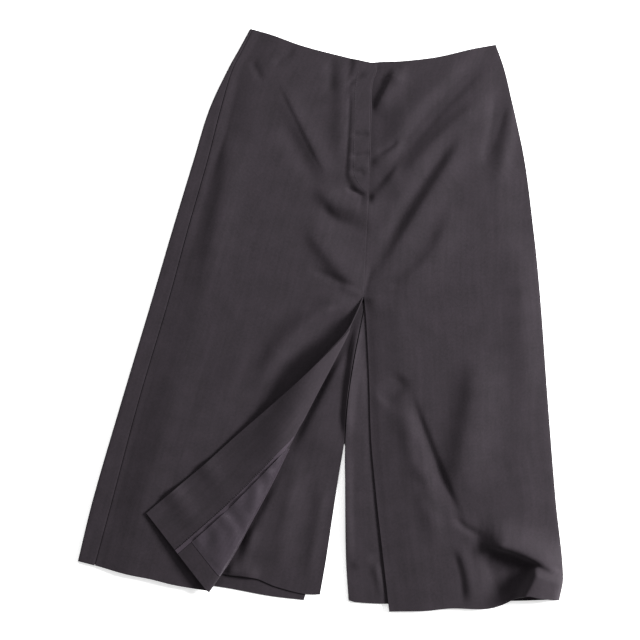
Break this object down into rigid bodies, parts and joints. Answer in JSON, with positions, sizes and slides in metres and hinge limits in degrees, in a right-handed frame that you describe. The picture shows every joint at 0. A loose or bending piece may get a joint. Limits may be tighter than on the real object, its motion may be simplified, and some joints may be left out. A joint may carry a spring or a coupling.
{
  "type": "wide cropped trousers with a split front",
  "caption": "Wide cropped trousers laid flat, with a fly front, outer fronts that hang open over inner ones, and one slit edge turned back.",
  "frame": {"origin": "middle of the laid-out garment's outline, on the surface it lies on", "axes": "+X to the wearer's left, +Y up to the waist, +Z off the surface"},
  "size_m": [0.6786, 0.8142, 0.0332],
  "materials": {
    "twill": "dark charcoal twill with a plum cast, fine diagonal rib, soft low sheen",
    "satin_lining": "smooth satin lining, charcoal, with a soft gloss",
    "binding": "narrow satin bias binding, a little lighter than the cloth",
    "zip_tape": "woven zip tape, near black"
  },
  "bodies": {
    "root": {"back_right": "twill", "back_left": "twill", "inner_front_right": "twill", "inner_front_left": "twill", "front_right": "twill", "front_left": "twill", "fly_zip": "zip_tape", "slit_facing_right": "twill", "facing_binding_right": "binding", "lining_right": "satin_lining", "hem_allowance_right": "twill"}
  },
  "joints": []
}
